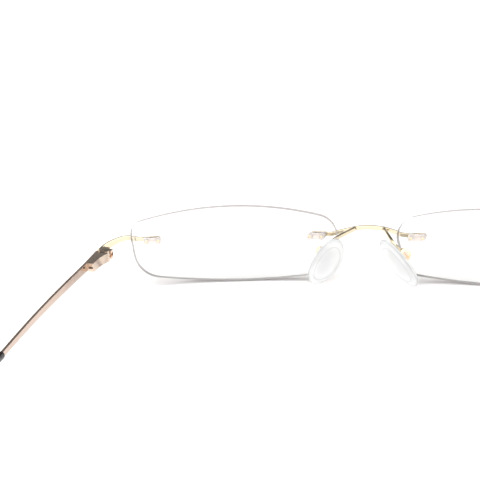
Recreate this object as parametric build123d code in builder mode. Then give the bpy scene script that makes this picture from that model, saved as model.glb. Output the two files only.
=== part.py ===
"""Rimless eyeglasses with compression mounts, spring hinges and adjustable nose pads.

Frame of the whole part: +Y is the way the wearer looks, +X is the wearer's right, +Z is up.
The glasses stand open on a table, on the lower edges of the lenses and on the temple tips.
Each sub-part is first thought of in the wearer's frame, where the temples are level, and that
frame leans forward by STAND_TILT. The right side is built and the left side mirrors it.
"""
import os
from math import asin, cos, degrees, pi, radians, sin, sqrt

from build123d import *

# Lenses (millimetres and degrees)
LENS_WIDTH = 53.0
LENS_HEIGHT = 19.2
LENS_GAP = 16.0
LENS_THICKNESS = 2.3
FRONT_RADIUS = 130.0
UPPER_ARC_RADIUS = 100.0
LOWER_ARC_RADIUS = 135.0
TEMPORAL_KNEE_HEIGHT = 2.4
TEMPORAL_KNEE_RADIUS = 10.0
TEMPORAL_LOWER_INSET = 1.2
NASAL_UPPER_REACH = 27.5
NASAL_LOWER_INSET = 2.5
TEMPORAL_UPPER_RADIUS = 3.0
TEMPORAL_LOWER_RADIUS = 7.0
NASAL_UPPER_RADIUS = 5.4
NASAL_LOWER_RADIUS = 4.0
WRAP_ANGLE = 6.5
PANTOSCOPIC_ANGLE = 6.0

# Compression mounts: a front plate with two pins, and a clear sleeve behind the lens
PIN_SPACING = 3.0
OUTER_PIN_REACH = 23.0
NASAL_PIN_HEIGHT = 2.0
TEMPORAL_PIN_HEIGHT = 1.6
PIN_RADIUS = 0.4
SLEEVE_BARREL_RADIUS = 0.64
MOUNT_HOLE_RADIUS = 0.65
FIT_CLEARANCE = 0.01
PLATE_THICKNESS = 0.8
PLATE_HEIGHT = 1.4
PIN_LENGTH = 3.45
SLEEVE_PLATE_THICKNESS = 1.3
SLEEVE_END_RADIUS = 0.88
SLEEVE_WAIST_DEPTH = 0.3
SLEEVE_STANDOFF = 0.03
SLEEVE_CREST = 0.1

# Bars of the bridge and the end pieces
BAR_ROOT_SIZE = (0.6, 1.05)
BRIDGE_SIZE = (0.75, 1.05)
END_BAR_SIZE = (0.75, 1.4)
BAR_EDGE_SHARE = 0.22
BAR_STATIONS = 17
BRIDGE_RISE = 3.4
BRIDGE_FRONT = -0.3
ARM_ROOT = (3.6, -0.6, 3.2)
END_BAR_HEIGHT = 2.1
END_PASS = (62.2, -7.6, 2.0)
END_TURN = (66.4, -9.8, 0.8)

# Hinge, its origin on the pin axis at mid height; local +X outboard, +Y forward, +Z up
HINGE_X = 66.1
HINGE_Y = -14.0
HINGE_Z = -0.2
SPLAY_ANGLE = 1.59
STRIP_INNER = 1.55
STRIP_THICKNESS = 0.8
NOTCH_FRONT = 0.45
NOTCH_REAR = -0.55
KNUCKLE_RADIUS = 1.5
KNUCKLE_INBOARD = 1.75
KNUCKLE_HALF_HEIGHT = 1.13
EYE_HALF_HEIGHT = 0.4
KNUCKLE_SLOT = 0.08
EYE_RADIUS = 1.25
SCREW_RADIUS = 0.42
SCREW_RUNNING_FIT = 0.03
SCREW_HEAD_RADIUS = 0.85
SCREW_HEAD_DEPTH = 0.4
SCREW_SLOT_WIDTH = 0.22
SCREW_SLOT_DEPTH = 0.2
KNUCKLE_FLAT_CENTRE = 0.15
KNUCKLE_FLAT_WIDTH = 1.7
KNUCKLE_ROOT_INBOARD = 0.6
KNUCKLE_ROOT_FRONT = 2.3
TONGUE_SWING = 0.75

# Spring housing on the inner face of the temple strip
HOUSING_FRONT = -1.95
HOUSING_LENGTH = 8.1
HOUSING_HEIGHT = 2.3
HOUSING_INBOARD_FRONT = 1.75
HOUSING_INBOARD_REAR = 0.3
TONGUE_RECESS = 0.75
BULKHEAD_THICKNESS = 0.6
CAVITY_WIDTH = 1.1
CAVITY_HEIGHT = 0.9
CAVITY_CENTRE = 0.45
REAR_SLOT_HEIGHT = 0.62
HOUSING_REAR_WALL = 0.4
HOUSING_CHAMFER = 0.25
HOUSING_SWEEP_TANGENTS = ((0.55, -1), (0.02, -1))
TONGUE_HALF_WIDTH = 0.5
ROD_RADIUS = 0.22
ROD_HOLE_RADIUS = 0.26
SPRING_MEAN_RADIUS = 0.33
SPRING_WIRE_SIZE = 0.11
SPRING_PITCH = 0.4
STOP_LENGTH = 0.5
SPRING_LENGTH = 4.6

# Temple: a tapering strip, then a core wire inside a black tip that bends down behind the ear
TEMPLE_LENGTH = 140.0
TIP_START = 68.5
EAR_BEND_START = 95.0
EAR_BEND_RADIUS = 22.0
EAR_BEND_ANGLE = 38.0
STRIP_HEIGHT_FRONT = 2.25
STRIP_HEIGHT_REAR = 1.45
STRIP_BOW = 0.6
BOW_START = 10.2
STRIP_STATIONS = 9
CORE_RADIUS = 0.55
CORE_END = 128.0
STRIP_EDGE_RADIUS = 0.15

TIP_THICKNESS_START = 1.7
TIP_THICKNESS_END = 2.2
TIP_HEIGHT_START = 2.0
TIP_HEIGHT_END = 4.0
TIP_STATIONS = 36
TIP_SWELL_SHARE = 0.8
TIP_ROUND_SHARE = 0.06
TIP_END_TAPER = 0.75

# Nose pads
PAD_CENTRE = (9.4, -11.4, -1.9)
PAD_LENGTH = 15.2
PAD_FRONT_BULGE = 5.0
PAD_REAR_BULGE = 3.7
PAD_THICKNESS = 2.0
PAD_FLARE = 28.0
PAD_SPLAY = 48.0
PAD_BOTTOM_FORWARD = 13.0
BOX_BEHIND_PAD = 2.2
BOX_ABOVE_PAD = 0.9
BOX_RADIUS = 1.65
BOX_WIDTH = 2.6
BOX_FLAT = 0.85
PAD_EDGE_RADIUS = 0.8
INSERT_BACK = -0.35
INSERT_THICKNESS = 0.5
INSERT_SHIFT = 0.4
INSERT_LENGTH = 8.6
INSERT_WIDTH = 3.6
LUG_THICKNESS = 1.0
LUG_RADIUS = 0.75
LUG_REACH = 1.9
LUG_CLEARANCE = 0.12
PAD_SCREW_RADIUS = 0.35
PAD_SCREW_HEAD_RADIUS = 0.85
ARM_SIZE = (0.75, 0.95)
ARM_FOOT_ANGLE = 95.0
ARM_FOOT_RADIUS = 1.45
ARM_START_HEADING = (0.5, -1, -0.05)

# A length longer than any wall it is cut through
THROUGH = 8.0

# How the open glasses stand
STAND_TILT = 5.997
STAND_FORWARD = 74.063
STAND_LIFT = 9.012

STANDING = Plane(Location((0, STAND_FORWARD, STAND_LIFT), (-STAND_TILT, 0, 0)))


def stand(plane):
    """A plane of the wearer's frame, leaned forward as the glasses stand."""
    return Plane(STANDING.location * plane.location)


def at(plane, x, y, z):
    """A plane's local point, in the part's frame."""
    return plane.from_local_coords(Vector(x, y, z))


def heading(x, y, z):
    """A direction of the wearer's frame, in the part's frame."""
    return at(STANDING, x, y, z) - STANDING.origin


def front_sag(u):
    """How far the front of a lens lies behind its vertex."""
    return FRONT_RADIUS - sqrt(FRONT_RADIUS**2 - u**2)


def export_pair(right_piece, name):
    """Write a right-hand piece and its mirror image."""
    right_piece.part.label = f"right_{name}"
    export_step(right_piece.part, f"parts/right_{name}.step")
    with BuildPart() as left_piece:
        mirror(right_piece.part, about=Plane.YZ)
    left_piece.part.label = f"left_{name}"
    export_step(left_piece.part, f"parts/left_{name}.step")


os.makedirs("parts", exist_ok=True)

# ---------------------------------------------------------------- reference planes
WRAP = radians(WRAP_ANGLE)
PANTO = radians(PANTOSCOPIC_ANGLE)
# Local +X temporal, +Y up, +Z towards the eye; the origin is the front vertex
LENS_VERTEX = (LENS_GAP / 2 + LENS_WIDTH / 2 * cos(WRAP), -LENS_WIDTH / 2 * sin(WRAP), 0)
LENS = stand(
    Plane(
        origin=LENS_VERTEX,
        x_dir=(cos(WRAP), -sin(WRAP), 0),
        z_dir=(-sin(WRAP) * cos(PANTO), -cos(WRAP) * cos(PANTO), sin(PANTO)),
    )
)


def mount_plane(u, v):
    """The plane touching the lens front midway between two pins, its +Z into the lens."""
    turn = degrees(asin(u / FRONT_RADIUS))
    return Plane(LENS.location * Location((u, v, front_sag(u)), (0, -turn, 0)))


NASAL_MOUNT = mount_plane(PIN_SPACING / 2 - OUTER_PIN_REACH, NASAL_PIN_HEIGHT)
TEMPORAL_MOUNT = mount_plane(OUTER_PIN_REACH - PIN_SPACING / 2, TEMPORAL_PIN_HEIGHT)
MOUNTS = (NASAL_MOUNT, TEMPORAL_MOUNT)
PIN_PLACES = [(-PIN_SPACING / 2, 0), (PIN_SPACING / 2, 0)]

HINGE = stand(Plane(Location((HINGE_X, HINGE_Y, HINGE_Z), (0, 0, SPLAY_ANGLE))))
STRIP_CENTRE = STRIP_INNER + STRIP_THICKNESS / 2

# ---------------------------------------------------------------- lenses
def upper_rim(u):
    """Height of the rim's upper arc above the lens centre."""
    return LENS_HEIGHT / 2 - UPPER_ARC_RADIUS + sqrt(UPPER_ARC_RADIUS**2 - u**2)


def lower_rim(u):
    """Height of the rim's lower arc, below the lens centre."""
    return LOWER_ARC_RADIUS - LENS_HEIGHT / 2 - sqrt(LOWER_ARC_RADIUS**2 - u**2)


half_width = LENS_WIDTH / 2
temporal_reach = half_width - TEMPORAL_LOWER_INSET
nasal_reach = half_width - NASAL_LOWER_INSET
temporal_upper = (half_width, upper_rim(half_width))
temporal_knee = (half_width, TEMPORAL_KNEE_HEIGHT)
temporal_lower = (temporal_reach, lower_rim(temporal_reach))
nasal_upper = (-NASAL_UPPER_REACH, upper_rim(NASAL_UPPER_REACH))
nasal_lower = (-nasal_reach, lower_rim(nasal_reach))
RIM_CORNERS = (
    (temporal_upper, TEMPORAL_UPPER_RADIUS),
    (temporal_lower, TEMPORAL_LOWER_RADIUS),
    (temporal_knee, TEMPORAL_KNEE_RADIUS),
    (nasal_upper, NASAL_UPPER_RADIUS),
    (nasal_lower, NASAL_LOWER_RADIUS),
)
with BuildPart(LENS) as right_lens:
    with BuildSketch(LENS) as outline:
        with BuildLine():
            ThreePointArc(nasal_upper, (0, upper_rim(0)), temporal_upper)
            Polyline(temporal_upper, temporal_knee, temporal_lower)
            ThreePointArc(temporal_lower, (0, lower_rim(0)), nasal_lower)
            Line(nasal_lower, nasal_upper)
        make_face()
        for corner, radius in RIM_CORNERS:
            fillet(outline.vertices().sort_by_distance((*corner, 0))[0], radius)
    extrude(amount=THROUGH)
    with Locations((0, 0, FRONT_RADIUS)):
        Sphere(FRONT_RADIUS, rotation=(90, 0, 0), mode=Mode.INTERSECT)
    with Locations((0, 0, FRONT_RADIUS + LENS_THICKNESS)):
        Sphere(FRONT_RADIUS, rotation=(90, 0, 0), mode=Mode.SUBTRACT)
    for mount in MOUNTS:
        with BuildSketch(mount.offset(-LENS_THICKNESS)):
            with Locations(PIN_PLACES):
                Circle(MOUNT_HOLE_RADIUS)
        extrude(amount=THROUGH, mode=Mode.SUBTRACT)
export_pair(right_lens, "lens")


# ---------------------------------------------------------------- compression mounts
def sleeve(mount):
    """A clear double sleeve: two barrels through the lens and a plate behind it."""
    with BuildPart(mount) as piece:
        with BuildSketch(mount):
            with Locations(PIN_PLACES):
                Circle(SLEEVE_BARREL_RADIUS)
        extrude(amount=LENS_THICKNESS + 2 * SLEEVE_STANDOFF)
        with BuildSketch(mount.offset(LENS_THICKNESS + SLEEVE_STANDOFF)):
            with Locations(PIN_PLACES):
                Circle(SLEEVE_END_RADIUS)
            Rectangle(PIN_SPACING, 2 * (SLEEVE_END_RADIUS - SLEEVE_CREST))
        extrude(amount=SLEEVE_PLATE_THICKNESS)
        waist_floor = LENS_THICKNESS + SLEEVE_STANDOFF + SLEEVE_PLATE_THICKNESS - SLEEVE_WAIST_DEPTH
        with BuildSketch(mount.offset(waist_floor)):
            Rectangle(PIN_SPACING, 2 * SLEEVE_END_RADIUS)
            with Locations(PIN_PLACES):
                Circle(SLEEVE_END_RADIUS - SLEEVE_CREST, mode=Mode.SUBTRACT)
        extrude(amount=SLEEVE_WAIST_DEPTH, mode=Mode.SUBTRACT)
        with BuildSketch(mount.offset(-LENS_THICKNESS)):
            with Locations(PIN_PLACES):
                Circle(PIN_RADIUS + FIT_CLEARANCE)
        extrude(amount=THROUGH, mode=Mode.SUBTRACT)
    return piece


for mount_name, mount in zip(("nasal", "temporal"), MOUNTS):
    export_pair(sleeve(mount), f"{mount_name}_sleeve")


def add_pins_and_plate(mount):
    """Inside a part: the front plate of a mount and its two pins."""
    with BuildSketch(mount.offset(-PLATE_THICKNESS - FIT_CLEARANCE)) as plate:
        SlotCenterToCenter(PIN_SPACING, PLATE_HEIGHT)
    extrude(plate.sketch, amount=PLATE_THICKNESS - FIT_CLEARANCE)
    with BuildSketch(mount.offset(-PLATE_THICKNESS / 2)) as pins:
        with Locations(PIN_PLACES):
            Circle(PIN_RADIUS)
    extrude(pins.sketch, amount=PLATE_THICKNESS / 2 + PIN_LENGTH)


def bar(path, sizes):
    """Inside a part: a bar along a path, its tall faces upright, thickness and height as listed."""
    sections = []
    for station in range(BAR_STATIONS):
        share = station / (BAR_STATIONS - 1)
        spot = share * (len(sizes) - 1)
        before = sizes[int(spot)]
        after = sizes[min(int(spot) + 1, len(sizes) - 1)]
        size = [a + (b - a) * (spot % 1) for a, b in zip(before, after)]
        ahead = path.line % share
        section_plane = Plane(origin=path.line @ share, x_dir=ahead.cross(STANDING.z_dir), z_dir=ahead)
        with BuildSketch(section_plane) as section:
            RectangleRounded(*size, min(size) * BAR_EDGE_SHARE)
        sections.append(section.sketch)
    loft(sections)


# ---------------------------------------------------------------- bridge
with BuildPart() as nasal_pins:
    add_pins_and_plate(NASAL_MOUNT)
with BuildPart() as bridge:
    right_root = at(NASAL_MOUNT, -PIN_SPACING / 2, 0, -PLATE_THICKNESS / 2)
    with BuildLine() as bridge_path:
        Spline(
            right_root,
            at(STANDING, *ARM_ROOT),
            at(STANDING, 0, BRIDGE_FRONT, BRIDGE_RISE),
            at(STANDING, -ARM_ROOT[0], *ARM_ROOT[1:]),
            Vector(-right_root.X, right_root.Y, right_root.Z),
            tangents=(heading(-1, -0.05, 0), heading(-1, 0.05, 0)),
        )
    bar(bridge_path, (BAR_ROOT_SIZE, BRIDGE_SIZE, BRIDGE_SIZE, BRIDGE_SIZE, BAR_ROOT_SIZE))
    add(nasal_pins.part)
    mirror(nasal_pins.part, about=Plane.YZ)
bridge.part.label = "bridge"
export_step(bridge.part, "parts/bridge.step")

# ---------------------------------------------------------------- end pieces
with BuildPart() as right_endpiece:
    with BuildLine() as end_path:
        Spline(
            at(TEMPORAL_MOUNT, PIN_SPACING / 2, 0, -PLATE_THICKNESS / 2),
            at(STANDING, *END_PASS),
            at(STANDING, *END_TURN),
            at(HINGE, STRIP_CENTRE, NOTCH_FRONT, 0),
            tangents=(TEMPORAL_MOUNT.x_dir, -HINGE.y_dir),
        )
    bar(end_path, (BAR_ROOT_SIZE, END_BAR_SIZE, (STRIP_THICKNESS, END_BAR_HEIGHT)))
    add_pins_and_plate(TEMPORAL_MOUNT)
export_pair(right_endpiece, "endpiece")

# ---------------------------------------------------------------- hinge fork and screw
with BuildPart() as right_hinge_fork:
    with BuildSketch(HINGE.offset(-KNUCKLE_HALF_HEIGHT)):
        Circle(KNUCKLE_RADIUS)
        with Locations((-KNUCKLE_INBOARD / 2, KNUCKLE_FLAT_CENTRE)):
            Rectangle(KNUCKLE_INBOARD, KNUCKLE_FLAT_WIDTH)
        with Locations(((STRIP_INNER - KNUCKLE_ROOT_INBOARD) / 2, KNUCKLE_ROOT_FRONT / 2)):
            Rectangle(STRIP_INNER + KNUCKLE_ROOT_INBOARD, KNUCKLE_ROOT_FRONT)
    extrude(amount=2 * KNUCKLE_HALF_HEIGHT)
    slot_half_height = EYE_HALF_HEIGHT + KNUCKLE_SLOT
    with BuildSketch(HINGE.offset(-slot_half_height)):
        Circle(EYE_RADIUS + KNUCKLE_SLOT)
        with Locations((0, TONGUE_SWING - KNUCKLE_ROOT_FRONT)):
            Rectangle(4 * KNUCKLE_RADIUS, 2 * KNUCKLE_ROOT_FRONT)
    extrude(amount=2 * slot_half_height, mode=Mode.SUBTRACT)
    with BuildSketch(HINGE.offset(-KNUCKLE_HALF_HEIGHT)):
        Circle(SCREW_RADIUS + FIT_CLEARANCE)
    extrude(amount=2 * KNUCKLE_HALF_HEIGHT, mode=Mode.SUBTRACT)
    with BuildSketch(HINGE.offset(KNUCKLE_HALF_HEIGHT - SCREW_HEAD_DEPTH)):
        Circle(SCREW_HEAD_RADIUS + FIT_CLEARANCE)
    extrude(amount=SCREW_HEAD_DEPTH, mode=Mode.SUBTRACT)
    add(right_endpiece.part, mode=Mode.SUBTRACT)
export_pair(right_hinge_fork, "hinge_fork")

with BuildPart() as right_hinge_screw:
    with BuildSketch(HINGE.offset(-KNUCKLE_HALF_HEIGHT)):
        Circle(SCREW_RADIUS)
    extrude(amount=KNUCKLE_HALF_HEIGHT)
    with BuildSketch(HINGE.offset(KNUCKLE_HALF_HEIGHT - SCREW_HEAD_DEPTH + FIT_CLEARANCE)):
        Circle(SCREW_HEAD_RADIUS)
    extrude(amount=SCREW_HEAD_DEPTH - FIT_CLEARANCE)
    with BuildSketch(HINGE):
        Circle(SCREW_RADIUS)
    extrude(amount=KNUCKLE_HALF_HEIGHT - SCREW_HEAD_DEPTH / 2)
    with BuildSketch(HINGE.offset(KNUCKLE_HALF_HEIGHT - SCREW_SLOT_DEPTH)):
        Rectangle(3 * SCREW_HEAD_RADIUS, SCREW_SLOT_WIDTH)
    extrude(amount=SCREW_SLOT_DEPTH, mode=Mode.SUBTRACT)
export_pair(right_hinge_screw, "hinge_screw")

# ---------------------------------------------------------------- spring carrier
recess_floor = HOUSING_FRONT - TONGUE_RECESS
bulkhead_rear = recess_floor - BULKHEAD_THICKNESS
spring_front = bulkhead_rear - KNUCKLE_SLOT
stop_front = spring_front - SPRING_LENGTH
rod_end = stop_front - STOP_LENGTH
housing_rear = HOUSING_FRONT - HOUSING_LENGTH
# Local +Z runs back along the rod
ROD = Plane(HINGE.location * Location((CAVITY_CENTRE, 0, 0), (90, 0, 0)))

with BuildPart() as right_hinge_carrier:
    with BuildSketch(HINGE.offset(-EYE_HALF_HEIGHT)):
        Circle(EYE_RADIUS)
        with Locations((CAVITY_CENTRE, (recess_floor + KNUCKLE_SLOT) / 2)):
            Rectangle(2 * TONGUE_HALF_WIDTH, -recess_floor - KNUCKLE_SLOT)
        Circle(SCREW_RADIUS + SCREW_RUNNING_FIT, mode=Mode.SUBTRACT)
    extrude(amount=2 * EYE_HALF_HEIGHT)
    with BuildSketch(ROD.offset(-recess_floor - 2 * KNUCKLE_SLOT)):
        Circle(ROD_RADIUS)
    extrude(amount=recess_floor + 2 * KNUCKLE_SLOT - rod_end)
export_pair(right_hinge_carrier, "hinge_carrier")

coil_start = ROD.offset(-spring_front + SPRING_WIRE_SIZE)
coil_height = SPRING_LENGTH - 2 * SPRING_WIRE_SIZE
with BuildPart() as right_hinge_spring:
    with BuildLine() as coil:
        Helix(SPRING_PITCH, coil_height, SPRING_MEAN_RADIUS, center=coil_start.origin, direction=coil_start.z_dir)
    with BuildSketch(Plane(origin=coil.line @ 0, z_dir=coil.line % 0)):
        Rectangle(SPRING_WIRE_SIZE, SPRING_WIRE_SIZE)
    sweep(path=coil.line, is_frenet=True)
export_pair(right_hinge_spring, "hinge_spring")

with BuildPart() as right_spring_stop:
    with BuildSketch(ROD.offset(-stop_front)):
        Rectangle(CAVITY_WIDTH - 2 * KNUCKLE_SLOT, CAVITY_HEIGHT - 2 * KNUCKLE_SLOT)
        Circle(ROD_RADIUS + FIT_CLEARANCE, mode=Mode.SUBTRACT)
    extrude(amount=STOP_LENGTH)
export_pair(right_spring_stop, "spring_stop")

# ---------------------------------------------------------------- spring housing
with BuildPart(HINGE) as right_spring_housing:
    with BuildSketch(HINGE.offset(-HOUSING_HEIGHT / 2)):
        with BuildLine():
            Polyline(
                (-HOUSING_INBOARD_REAR, housing_rear),
                (STRIP_INNER, housing_rear),
                (STRIP_INNER, HOUSING_FRONT),
                (-HOUSING_INBOARD_FRONT, HOUSING_FRONT),
            )
            Spline(
                (-HOUSING_INBOARD_FRONT, HOUSING_FRONT),
                (-HOUSING_INBOARD_REAR, housing_rear),
                tangents=HOUSING_SWEEP_TANGENTS,
            )
        make_face()
    extrude(amount=HOUSING_HEIGHT)
    chamfer(right_spring_housing.edges().filter_by(GeomType.LINE).group_by(Axis.Y)[0], HOUSING_CHAMFER)
    with Locations((CAVITY_CENTRE, HOUSING_FRONT, 0)):
        Box(2 * TONGUE_HALF_WIDTH + 2 * KNUCKLE_SLOT, 2 * TONGUE_RECESS, CAVITY_HEIGHT, mode=Mode.SUBTRACT)
    with BuildSketch(ROD):
        Circle(ROD_HOLE_RADIUS)
    extrude(amount=HOUSING_LENGTH, mode=Mode.SUBTRACT)
    cavity_length = bulkhead_rear - housing_rear - HOUSING_REAR_WALL
    with Locations((CAVITY_CENTRE, bulkhead_rear - cavity_length / 2, 0)):
        Box(CAVITY_WIDTH, cavity_length, CAVITY_HEIGHT, mode=Mode.SUBTRACT)
    with Locations((CAVITY_CENTRE, housing_rear, 0)):
        Box(CAVITY_WIDTH, 3 * HOUSING_REAR_WALL, REAR_SLOT_HEIGHT, mode=Mode.SUBTRACT)
export_pair(right_spring_housing, "spring_housing")

# ---------------------------------------------------------------- temples and tips
# Local +X runs back along the temple, +Y is up, +Z inboard; the origin is beside the pin
TEMPLE = Plane(origin=at(HINGE, STRIP_CENTRE, 0, 0), x_dir=-HINGE.y_dir, z_dir=-HINGE.x_dir)


def temple_route(start, end):
    """The line of a temple from start to end, both counted along it from the hinge pin."""
    arc_length = radians(EAR_BEND_ANGLE) * EAR_BEND_RADIUS
    with BuildLine(TEMPLE) as route:
        Line((start, 0), (EAR_BEND_START, 0))
        JernArc((EAR_BEND_START, 0), (1, 0), EAR_BEND_RADIUS, -EAR_BEND_ANGLE)
        fall = radians(EAR_BEND_ANGLE)
        rest = end - EAR_BEND_START - arc_length
        foot = (
            EAR_BEND_START + EAR_BEND_RADIUS * sin(fall) + rest * cos(fall),
            -EAR_BEND_RADIUS * (1 - cos(fall)) - rest * sin(fall),
        )
        Line(
            (EAR_BEND_START + EAR_BEND_RADIUS * sin(fall), -EAR_BEND_RADIUS * (1 - cos(fall))),
            foot,
        )
    return route


def round_rod(route, radius):
    """Inside a part: a round rod along a route."""
    with BuildSketch(Plane(origin=route.line @ 0, z_dir=route.line % 0)) as section:
        Circle(radius)
    sweep(section.sketch, path=route.line)


def strip_section(distance):
    """The outline of the temple strip at a distance from the hinge pin."""
    height = STRIP_HEIGHT_FRONT + (STRIP_HEIGHT_REAR - STRIP_HEIGHT_FRONT) * distance / TIP_START
    outward = STRIP_BOW * sin(pi * max(distance - BOW_START, 0) / (TIP_START - BOW_START))
    centre = at(TEMPLE, distance, 0, -outward)
    with BuildSketch(Plane(origin=centre, x_dir=TEMPLE.y_dir, z_dir=TEMPLE.x_dir)) as section:
        RectangleRounded(height, STRIP_THICKNESS, STRIP_EDGE_RADIUS)
    return section.sketch


with BuildPart() as right_temple:
    loft((strip_section(-NOTCH_REAR), strip_section(BOW_START)), ruled=True)
    bow_step = (TIP_START - BOW_START) / (STRIP_STATIONS - 1)
    loft([strip_section(BOW_START + station * bow_step) for station in range(STRIP_STATIONS)])
    round_rod(temple_route(TIP_START - CORE_RADIUS, CORE_END), CORE_RADIUS)
export_pair(right_temple, "temple")

tip_route = temple_route(TIP_START, TEMPLE_LENGTH)
with BuildPart() as right_temple_tip:
    tip_sections = []
    for station in range(TIP_STATIONS):
        share = station / (TIP_STATIONS - 1)
        swell = min(share / TIP_SWELL_SHARE, 1)
        ending = max(share - 1 + TIP_ROUND_SHARE, 0) / TIP_ROUND_SHARE
        taper = sqrt(1 - TIP_END_TAPER * ending**2)
        section_plane = Plane(origin=tip_route.line @ share, x_dir=TEMPLE.z_dir, z_dir=tip_route.line % share)
        with BuildSketch(section_plane) as section:
            Ellipse(
                (TIP_THICKNESS_START + (TIP_THICKNESS_END - TIP_THICKNESS_START) * swell) / 2 * taper,
                (TIP_HEIGHT_START + (TIP_HEIGHT_END - TIP_HEIGHT_START) * swell) / 2 * taper,
            )
        tip_sections.append(section.sketch)
    loft(tip_sections)
    round_rod(temple_route(TIP_START - CORE_RADIUS, CORE_END), CORE_RADIUS + FIT_CLEARANCE)
    add(right_temple.part, mode=Mode.SUBTRACT)
export_pair(right_temple_tip, "temple_tip")

# ---------------------------------------------------------------- nose pads
# Local +Y runs up the pad, +Z out of its face towards the nose, +X out of its rear edge
flare = radians(PAD_FLARE)
splay = radians(PAD_SPLAY)
pad_up = Vector(-sin(flare), -sin(radians(PAD_BOTTOM_FORWARD)), cos(flare)).normalized()
pad_heading = Vector(-cos(splay), -sin(splay), 0)
pad_face = (pad_heading - pad_up * pad_heading.dot(pad_up)).normalized()
PAD = stand(Plane(origin=PAD_CENTRE, x_dir=pad_up.cross(pad_face), z_dir=pad_face))
BOX = Plane(PAD.location * Location((0, BOX_ABOVE_PAD, -BOX_BEHIND_PAD), (0, 90, 0)))
# BOX: local +X away from the pad, +Y up, +Z along the screw to its head

with BuildPart() as right_pad_insert:
    with BuildSketch(PAD.offset(INSERT_BACK)):
        with Locations((0, INSERT_SHIFT)):
            SlotCenterToCenter(INSERT_LENGTH - INSERT_WIDTH, INSERT_WIDTH, rotation=90)
    extrude(amount=INSERT_THICKNESS)
    with BuildSketch(BOX.offset(-LUG_THICKNESS / 2)):
        Circle(LUG_RADIUS)
        with Locations((-LUG_REACH / 2, 0)):
            Rectangle(LUG_REACH, 2 * LUG_RADIUS)
    extrude(amount=LUG_THICKNESS)
    with BuildSketch(BOX.offset(-BOX_WIDTH / 2)):
        Circle(PAD_SCREW_RADIUS + SCREW_RUNNING_FIT)
    extrude(amount=BOX_WIDTH, mode=Mode.SUBTRACT)
export_pair(right_pad_insert, "pad_insert")

with BuildPart() as right_nose_pad:
    with BuildSketch(PAD.offset(-PAD_THICKNESS / 2)):
        with BuildLine():
            EllipticalCenterArc((0, 0), PAD_REAR_BULGE, PAD_LENGTH / 2, start_angle=-90, arc_size=180)
            EllipticalCenterArc((0, 0), PAD_FRONT_BULGE, PAD_LENGTH / 2, start_angle=90, arc_size=180)
        make_face()
    extrude(amount=PAD_THICKNESS)
    rims = right_nose_pad.edges().filter_by(GeomType.LINE, reverse=True)
    fillet(rims, PAD_EDGE_RADIUS)
    add(right_pad_insert.part, mode=Mode.SUBTRACT)
export_pair(right_nose_pad, "nose_pad")

with BuildPart() as right_pad_box:
    with BuildSketch(BOX.offset(-BOX_WIDTH / 2)):
        Circle(BOX_RADIUS)
        with Locations((-BOX_FLAT - BOX_RADIUS, 0)):
            Rectangle(2 * BOX_RADIUS, 4 * BOX_RADIUS, mode=Mode.SUBTRACT)
    extrude(amount=BOX_WIDTH)
    with BuildSketch(BOX.offset(-LUG_THICKNESS / 2 - LUG_CLEARANCE)):
        Circle(LUG_RADIUS + LUG_CLEARANCE)
        with Locations((-BOX_RADIUS, 0)):
            Rectangle(2 * BOX_RADIUS, 2 * LUG_RADIUS + 4 * LUG_CLEARANCE)
    extrude(amount=LUG_THICKNESS + 2 * LUG_CLEARANCE, mode=Mode.SUBTRACT)
    with BuildSketch(BOX.offset(-BOX_WIDTH / 2)):
        Circle(PAD_SCREW_RADIUS + FIT_CLEARANCE)
    extrude(amount=BOX_WIDTH, mode=Mode.SUBTRACT)
    with BuildSketch(BOX.offset(BOX_WIDTH / 2 - SCREW_HEAD_DEPTH)):
        Circle(PAD_SCREW_HEAD_RADIUS + FIT_CLEARANCE)
    extrude(amount=SCREW_HEAD_DEPTH, mode=Mode.SUBTRACT)
export_pair(right_pad_box, "pad_box")

with BuildPart() as right_pad_screw:
    with BuildSketch(BOX.offset(-BOX_WIDTH / 2)):
        Circle(PAD_SCREW_RADIUS)
    extrude(amount=BOX_WIDTH - SCREW_HEAD_DEPTH / 2)
    with BuildSketch(BOX.offset(BOX_WIDTH / 2 - SCREW_HEAD_DEPTH + FIT_CLEARANCE)):
        Circle(PAD_SCREW_HEAD_RADIUS)
    extrude(amount=SCREW_HEAD_DEPTH - FIT_CLEARANCE)
    with BuildSketch(BOX.offset(BOX_WIDTH / 2 - SCREW_SLOT_DEPTH)):
        Rectangle(SCREW_SLOT_WIDTH, 3 * PAD_SCREW_HEAD_RADIUS)
    extrude(amount=SCREW_SLOT_DEPTH, mode=Mode.SUBTRACT)
export_pair(right_pad_screw, "pad_screw")

# ---------------------------------------------------------------- pad arms
foot_angle = radians(ARM_FOOT_ANGLE)
arm_foot = at(BOX, ARM_FOOT_RADIUS * cos(foot_angle), ARM_FOOT_RADIUS * sin(foot_angle), 0)
with BuildPart() as right_pad_arm:
    with BuildLine() as arm_path:
        Spline(
            at(STANDING, *ARM_ROOT),
            arm_foot,
            tangents=(heading(*ARM_START_HEADING), BOX.origin - arm_foot),
        )
    bar(arm_path, (ARM_SIZE, ARM_SIZE))
    add(bridge.part, mode=Mode.SUBTRACT)
    add(right_pad_box.part, mode=Mode.SUBTRACT)
export_pair(right_pad_arm, "pad_arm")
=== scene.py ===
"""Looks for the rimless eyeglasses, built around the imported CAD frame. Metres, +Z up, +Y forward."""
from math import cos, radians, sin, tau

import bmesh
import bpy
from mathutils import Matrix, Vector


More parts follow.
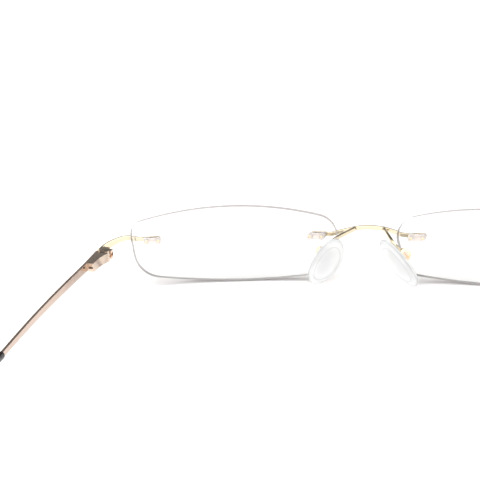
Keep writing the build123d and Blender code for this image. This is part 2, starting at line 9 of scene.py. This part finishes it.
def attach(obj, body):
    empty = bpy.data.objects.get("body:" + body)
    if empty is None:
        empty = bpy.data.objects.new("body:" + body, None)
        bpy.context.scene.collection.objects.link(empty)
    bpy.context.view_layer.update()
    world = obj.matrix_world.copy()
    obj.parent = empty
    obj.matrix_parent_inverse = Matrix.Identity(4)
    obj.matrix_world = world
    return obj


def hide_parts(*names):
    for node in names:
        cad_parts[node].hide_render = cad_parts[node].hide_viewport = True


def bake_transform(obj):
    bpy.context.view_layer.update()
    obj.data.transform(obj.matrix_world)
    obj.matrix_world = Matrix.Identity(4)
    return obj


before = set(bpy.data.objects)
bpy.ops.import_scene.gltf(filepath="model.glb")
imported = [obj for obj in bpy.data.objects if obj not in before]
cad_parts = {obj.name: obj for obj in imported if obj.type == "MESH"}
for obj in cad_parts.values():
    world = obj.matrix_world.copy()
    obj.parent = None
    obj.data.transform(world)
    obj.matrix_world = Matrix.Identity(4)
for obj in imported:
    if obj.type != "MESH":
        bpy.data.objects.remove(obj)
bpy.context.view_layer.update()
scene = bpy.context.scene
SIDES = (("left", -1), ("right", 1))

# The optical axis of the right lens, towards the eye
LENS_AXIS = Vector((-0.11258, -0.9718, 0.20719))
# The right nose pad: its centre, the way out of its rear edge, up, and out of its face
PAD_CENTRE = Vector((0.0094, 0.062527, 0.008313))
PAD_ACROSS = Vector((0.72507, -0.62638, 0.28621))
PAD_UP = Vector((-0.45803, -0.12827, 0.87964))
PAD_FACE = Vector((-0.51428, -0.76889, -0.3799))
PAD_LENGTH = 0.0152
PAD_FRONT_BULGE = 0.0050
PAD_REAR_BULGE = 0.0037
PAD_THICKNESS = 0.0020
PAD_TURNS = 56
# How much wider a pad is below its middle than above, and its share of the CAD pad's width
PAD_LOWER_FLARE = 0.1
PAD_WIDTH_SHARE = 0.95
# The rings of the pad's profile that carry painted shade: darker grey lines that outline the pad's
# step and rim
PAINTED_SHADE_SHARES = (0.72, 0.992)
FLOOR_HALF_SIZE = 3.0
CAMERA_PLACE = Vector((0.13497, -0.49383, 0.28455))
CAMERA_YAW = radians(16.60)
CAMERA_PITCH = radians(25.0)
CAMERA_ROLL = radians(-6.13)
CAMERA_LENS = 191.2
CAMERA_SENSOR = 36.0


def mirrored(vector, side):
    """A right-hand vector for one side: side is 1 on the right and -1 on the left."""
    return (side * vector.x, vector.y, vector.z)


# ---------------------------------------------------------------- material helpers
class Shader:
    """A material with one Principled shader and short ways to add nodes to it."""

    def __init__(self, name, **values):
        self.material = bpy.data.materials.new(name)
        self.material.use_nodes = True
        self.tree = self.material.node_tree
        self.tree.nodes.clear()
        self.output = self.add("OutputMaterial")
        self.principled = self.add("BsdfPrincipled")
        self.link(self.principled.outputs["BSDF"], self.output.inputs["Surface"])
        for key, value in values.items():
            self.set(key.replace("_", " "), value)

    def add(self, kind, **settings):
        node = self.tree.nodes.new("ShaderNode" + kind)
        for key, value in settings.items():
            setattr(node, key, value)
        return node

    def link(self, source, target):
        self.tree.links.new(source, target)

    def set(self, socket, value):
        if isinstance(value, tuple) and len(value) == 3:
            value = (*value, 1.0)
        self.principled.inputs[socket].default_value = value

    def coordinates(self, stretch=(1, 1, 1), turn=(0, 0, 0)):
        place = self.add("TexCoord")
        mapping = self.add("Mapping")
        mapping.inputs["Scale"].default_value = stretch
        mapping.inputs["Rotation"].default_value = turn
        self.link(place.outputs["Object"], mapping.inputs["Vector"])
        return mapping.outputs["Vector"]

    def noise(self, scale, detail=3.0, roughness=0.5, vector=None):
        node = self.add("TexNoise")
        node.inputs["Scale"].default_value = scale
        node.inputs["Detail"].default_value = detail
        node.inputs["Roughness"].default_value = roughness
        self.link(vector or self.coordinates(), node.inputs["Vector"])
        return node.outputs["Fac"]

    def ramp(self, value, *stops):
        node = self.add("ValToRGB")
        elements = node.color_ramp.elements
        while len(elements) < len(stops):
            elements.new(0.5)
        for element, (position, colour) in zip(elements, stops):
            element.position = position
            element.color = (*colour, 1.0)
        self.link(value, node.inputs["Fac"])
        return node.outputs["Color"]

    def range(self, value, low, high, start=0.3, end=0.7):
        node = self.add("MapRange")
        for key, number in (("From Min", start), ("From Max", end), ("To Min", low), ("To Max", high)):
            node.inputs[key].default_value = number
        self.link(value, node.inputs["Value"])
        return node.outputs["Result"]

    def bump(self, height, distance, strength=1.0):
        node = self.add("Bump")
        node.inputs["Distance"].default_value = distance
        node.inputs["Strength"].default_value = strength
        self.link(height, node.inputs["Height"])
        self.link(node.outputs["Normal"], self.principled.inputs["Normal"])


def plated_metal(name, pale, deep, roughness, grain=(1, 1, 1)):
    """Plated metal: a slow drift of tone, fine drawing lines and slightly uneven polish."""
    shader = Shader(name, Metallic=1.0)
    drift = shader.noise(260.0, detail=2.0)
    shader.link(shader.ramp(drift, (0.2, pale), (0.85, deep)), shader.principled.inputs["Base Color"])
    lines = shader.noise(2600.0, detail=4.0, roughness=0.6, vector=shader.coordinates(grain))
    polish = shader.range(lines, roughness * 0.8, roughness * 1.35)
    shader.link(polish, shader.principled.inputs["Roughness"])
    shader.bump(lines, 0.000004)
    return shader.material


def clear_plastic(name, tint, roughness, ior, cloud, clearness, bump=0.00001):
    """Moulded milky plastic or silicone: a little cloudy, with soft moulding marks."""
    shader = Shader(name, Transmission_Weight=clearness, IOR=ior)
    patches = shader.noise(420.0, detail=2.0)
    dim = tuple(channel * (1 - cloud) for channel in tint)
    shader.link(shader.ramp(patches, (0.3, tint), (0.75, dim)), shader.principled.inputs["Base Color"])
    polish = shader.range(patches, roughness * 0.7, roughness * 1.4)
    shader.link(polish, shader.principled.inputs["Roughness"])
    shader.bump(shader.noise(900.0), bump, 0.5)
    return shader.material


def lens_glass(side_name, side):
    """Clear lens: polished faces and a finely ground, faintly pink edge."""
    shader = Shader(f"{side_name}_lens_glass", Transmission_Weight=1.0, IOR=1.5)
    place = shader.add("TexCoord")
    facing = shader.add("VectorMath", operation="DOT_PRODUCT")
    facing.inputs[1].default_value = mirrored(LENS_AXIS, side)
    shader.link(place.outputs["Normal"], facing.inputs[0])
    size = shader.add("Math", operation="ABSOLUTE")
    shader.link(facing.outputs["Value"], size.inputs[0])
    grind = shader.noise(3000.0, detail=4.0)
    edge = shader.range(size.outputs["Value"], 1.0, 0.0, 0.55, 0.8)
    colour = shader.ramp(edge, (0.0, (0.995, 0.998, 0.997)), (1.0, (0.43, 0.385, 0.39)))
    shader.link(colour, shader.principled.inputs["Base Color"])
    ground = shader.add("Math", operation="MULTIPLY")
    shader.link(edge, ground.inputs[0])
    shader.link(shader.range(grind, 0.22, 0.38), ground.inputs[1])
    shader.link(ground.outputs["Value"], shader.principled.inputs["Roughness"])
    frosting = shader.range(edge, 1.0, 0.2, 0.0, 1.0)
    shader.link(frosting, shader.principled.inputs["Transmission Weight"])
    return shader.material


gold = plated_metal("pale_gold", (0.79, 0.70, 0.54), (0.74, 0.64, 0.46), 0.09)
strip_gold = plated_metal(
    "rose_gold_strip", (0.57, 0.44, 0.37), (0.53, 0.40, 0.33), 0.2, grain=(1, 0.04, 0.3)
)
rose_gold = plated_metal("rose_gold_hinge", (0.76, 0.62, 0.51), (0.71, 0.57, 0.46), 0.12)
steel = plated_metal("spring_wire", (0.62, 0.60, 0.57), (0.5, 0.48, 0.46), 0.2)
sleeve_plastic = clear_plastic("sleeve_plastic", (0.93, 0.86, 0.83), 0.08, 1.46, 0.04, 0.5)
insert_plastic = clear_plastic("insert_plastic", (0.93, 0.94, 0.94), 0.12, 1.5, 0.1, 0.5)
silicone = clear_plastic("pad_silicone", (0.915, 0.92, 0.92), 0.08, 1.41, 0.03, 0.5)
# Painted shade: a darker grey for the faces that outline the clear pad's step and rim
painted_outline_shade = clear_plastic("pad_painted_outline_shade", (0.60, 0.61, 0.62), 0.12, 1.41, 0.05, 0.4)

tip_shader = Shader("black_tip", Specular_IOR_Level=0.3, Coat_Weight=0.1, Coat_Roughness=0.08)
swirl = tip_shader.noise(160.0, detail=4.0, vector=tip_shader.coordinates((1, 0.3, 1)))
tip_shader.link(
    tip_shader.ramp(swirl, (0.35, (0.004, 0.0035, 0.0035)), (0.75, (0.011, 0.008, 0.007))),
    tip_shader.principled.inputs["Base Color"],
)
tip_shader.link(tip_shader.range(swirl, 0.16, 0.26), tip_shader.principled.inputs["Roughness"])
tip_shader.bump(tip_shader.noise(700.0), 0.000006)

LOOKS = {
    "nasal_sleeve": sleeve_plastic,
    "temporal_sleeve": sleeve_plastic,
    "endpiece": gold,
    "hinge_fork": rose_gold,
    "hinge_screw": gold,
    "hinge_carrier": rose_gold,
    "hinge_spring": steel,
    "spring_stop": steel,
    "spring_housing": rose_gold,
    "temple": strip_gold,
    "temple_tip": tip_shader.material,
    "pad_insert": insert_plastic,
    "nose_pad": silicone,
    "pad_box": gold,
    "pad_screw": rose_gold,
    "pad_arm": gold,
}


def dress(node, material):
    """Give a CAD node its material."""
    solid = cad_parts[node]
    solid.data.materials.clear()
    solid.data.materials.append(material)


dress("bridge", gold)
for side_name, side in SIDES:
    dress(f"{side_name}_lens", lens_glass(side_name, side))
    for part_name, material in LOOKS.items():
        dress(f"{side_name}_{part_name}", material)


# ---------------------------------------------------------------- nose pads
def pad_profile():
    """Half a section through a pad, from the face's centre over the rim to the back's centre."""
    half = PAD_THICKNESS / 2
    face = [(0.0, 0.98), (0.3, 0.97), (0.55, 0.92), (0.68, 0.86)]
    step = [(0.72, 0.80), (0.76, 0.79), (0.80, 0.80)]
    rim = [(0.88, 0.72), (0.955, 0.5), (0.992, 0.2), (1.0, -0.1)]
    rim += [(0.985, -0.45), (0.93, -0.78), (0.86, -0.93)]
    back = [(0.7, -0.99), (0.4, -1.0), (0.0, -1.0)]
    return [(share, height * half) for share, height in face + step + rim + back]


def nose_pad(side_name, side):
    """A moulded silicone pad, wider below, with a step round its face."""
    mesh = bmesh.new()
    rings = []
    profile = pad_profile()
    for share, height in profile:
        if share == 0.0:
            rings.append([mesh.verts.new((0, 0, height))])
            continue
        ring = []
        for k in range(PAD_TURNS):
            angle = tau * k / PAD_TURNS
            along = sin(angle)
            wide = 1.0 - PAD_LOWER_FLARE * along
            bulge = PAD_REAR_BULGE if cos(angle) > 0 else PAD_FRONT_BULGE
            ring.append(
                mesh.verts.new((
                    cos(angle) * bulge * share * wide * PAD_WIDTH_SHARE,
                    along * PAD_LENGTH / 2 * share,
                    height,
                ))
            )
        rings.append(ring)
    for step, (inner, outer) in enumerate(zip(rings, rings[1:])):
        # Faces from the listed rings get the second material, a painted shade line
        painted_shade_ring = profile[step][0] in PAINTED_SHADE_SHARES
        for k in range(PAD_TURNS):
            after = (k + 1) % PAD_TURNS
            if len(inner) == 1:
                corners = (inner[0], outer[k], outer[after])
            elif len(outer) == 1:
                corners = (inner[k], outer[0], inner[after])
            else:
                corners = (inner[k], outer[k], outer[after], inner[after])
            mesh.faces.new(corners).material_index = int(painted_shade_ring)
    place = Matrix((PAD_ACROSS, PAD_UP, PAD_FACE)).transposed().to_4x4()
    place.translation = PAD_CENTRE
    mesh.transform(Matrix.Diagonal((side, 1, 1, 1)) @ place)
    bmesh.ops.recalc_face_normals(mesh, faces=mesh.faces)
    for face in mesh.faces:
        face.smooth = True
    data = bpy.data.meshes.new(f"{side_name}_silicone_pad")
    mesh.to_mesh(data)
    mesh.free()
    pad = bpy.data.objects.new(f"{side_name}_silicone_pad", data)
    scene.collection.objects.link(pad)
    data.materials.append(silicone)
    data.materials.append(painted_outline_shade)
    subdivide = pad.modifiers.new("smooth", "SUBSURF")
    subdivide.levels = subdivide.render_levels = 1
    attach(pad, f"{side_name}_pad")
    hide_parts(f"{side_name}_nose_pad")


for side_name, side in SIDES:
    nose_pad(side_name, side)


# ---------------------------------------------------------------- hinge springs
def hinge_spring(side_name):
    """The coil in a hinge box: a baked copy of the CAD spring, which is hidden."""
    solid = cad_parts[f"{side_name}_hinge_spring"]
    coil = bpy.data.objects.new(f"{side_name}_coil_spring", solid.data.copy())
    scene.collection.objects.link(coil)
    bpy.context.view_layer.update()
    coil.matrix_world = solid.matrix_world.copy()
    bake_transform(coil)
    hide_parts(f"{side_name}_hinge_spring")


for side_name, side in SIDES:
    hinge_spring(side_name)

# ---------------------------------------------------------------- floor, light and camera
floor_data = bpy.data.meshes.new("floor")
floor_mesh = bmesh.new()
bmesh.ops.create_grid(floor_mesh, x_segments=8, y_segments=8, size=FLOOR_HALF_SIZE)
floor_mesh.to_mesh(floor_data)
floor_mesh.free()
floor = bpy.data.objects.new("floor", floor_data)
scene.collection.objects.link(floor)
floor_shader = Shader("white_sweep", Roughness=0.9, Specular_IOR_Level=0.0)
paper = floor_shader.noise(30.0)
floor_shader.link(
    floor_shader.ramp(paper, (0.3, (0.94, 0.94, 0.94)), (0.7, (0.95, 0.95, 0.95))),
    floor_shader.principled.inputs["Base Color"],
)
floor_data.materials.append(floor_shader.material)

world = bpy.data.worlds.new("studio")
scene.world = world
world.use_nodes = True
tree = world.node_tree
tree.nodes.clear()
place = tree.nodes.new("ShaderNodeTexCoord")
axes = tree.nodes.new("ShaderNodeSeparateXYZ")
tree.links.new(place.outputs["Generated"], axes.inputs[0])
# By height: white at the horizon, a dim band above it, and a bright ceiling. Behind, all is bright.
height_ramp = tree.nodes.new("ShaderNodeValToRGB")
stops = ((0.0, 1.0), (0.1, 1.0), (0.22, 0.1), (0.6, 0.12), (0.8, 1.35), (1.0, 1.35))
while len(height_ramp.color_ramp.elements) < len(stops):
    height_ramp.color_ramp.elements.new(0.5)
for element, (position, value) in zip(height_ramp.color_ramp.elements, stops):
    element.position = position
    element.color = (value, value * 0.985, value * 0.96, 1.0)
tree.links.new(axes.outputs["Z"], height_ramp.inputs["Fac"])
frontness = tree.nodes.new("ShaderNodeMapRange")
for key, number in (("From Min", -0.1), ("From Max", 0.35), ("To Min", 0.0), ("To Max", 1.0)):
    frontness.inputs[key].default_value = number
tree.links.new(axes.outputs["Y"], frontness.inputs["Value"])
mix = tree.nodes.new("ShaderNodeMix")
mix.data_type = "RGBA"
mix.inputs["A"].default_value = (1.3, 1.3, 1.3, 1.0)
tree.links.new(frontness.outputs["Result"], mix.inputs["Factor"])
tree.links.new(height_ramp.outputs["Color"], mix.inputs["B"])
background = tree.nodes.new("ShaderNodeBackground")
background.inputs["Strength"].default_value = 1.45
tree.links.new(mix.outputs["Result"], background.inputs["Color"])
world_output = tree.nodes.new("ShaderNodeOutputWorld")
tree.links.new(background.outputs["Background"], world_output.inputs["Surface"])

ahead_of_camera = Vector((
    -sin(CAMERA_YAW) * cos(CAMERA_PITCH), cos(CAMERA_YAW) * cos(CAMERA_PITCH), -sin(CAMERA_PITCH)
))
level_right = Vector((cos(CAMERA_YAW), sin(CAMERA_YAW), 0))
level_up = level_right.cross(ahead_of_camera)
camera_right = level_right * cos(CAMERA_ROLL) + level_up * sin(CAMERA_ROLL)
camera_up = level_up * cos(CAMERA_ROLL) - level_right * sin(CAMERA_ROLL)
camera_data = bpy.data.cameras.new("camera")
camera_data.lens = CAMERA_LENS
camera_data.sensor_width = CAMERA_SENSOR
camera = bpy.data.objects.new("camera", camera_data)
turn = Matrix((camera_right, camera_up, -ahead_of_camera)).transposed().to_4x4()
turn.translation = CAMERA_PLACE
camera.matrix_world = turn
scene.collection.objects.link(camera)
scene.camera = camera
scene.view_settings.view_transform = "Standard"
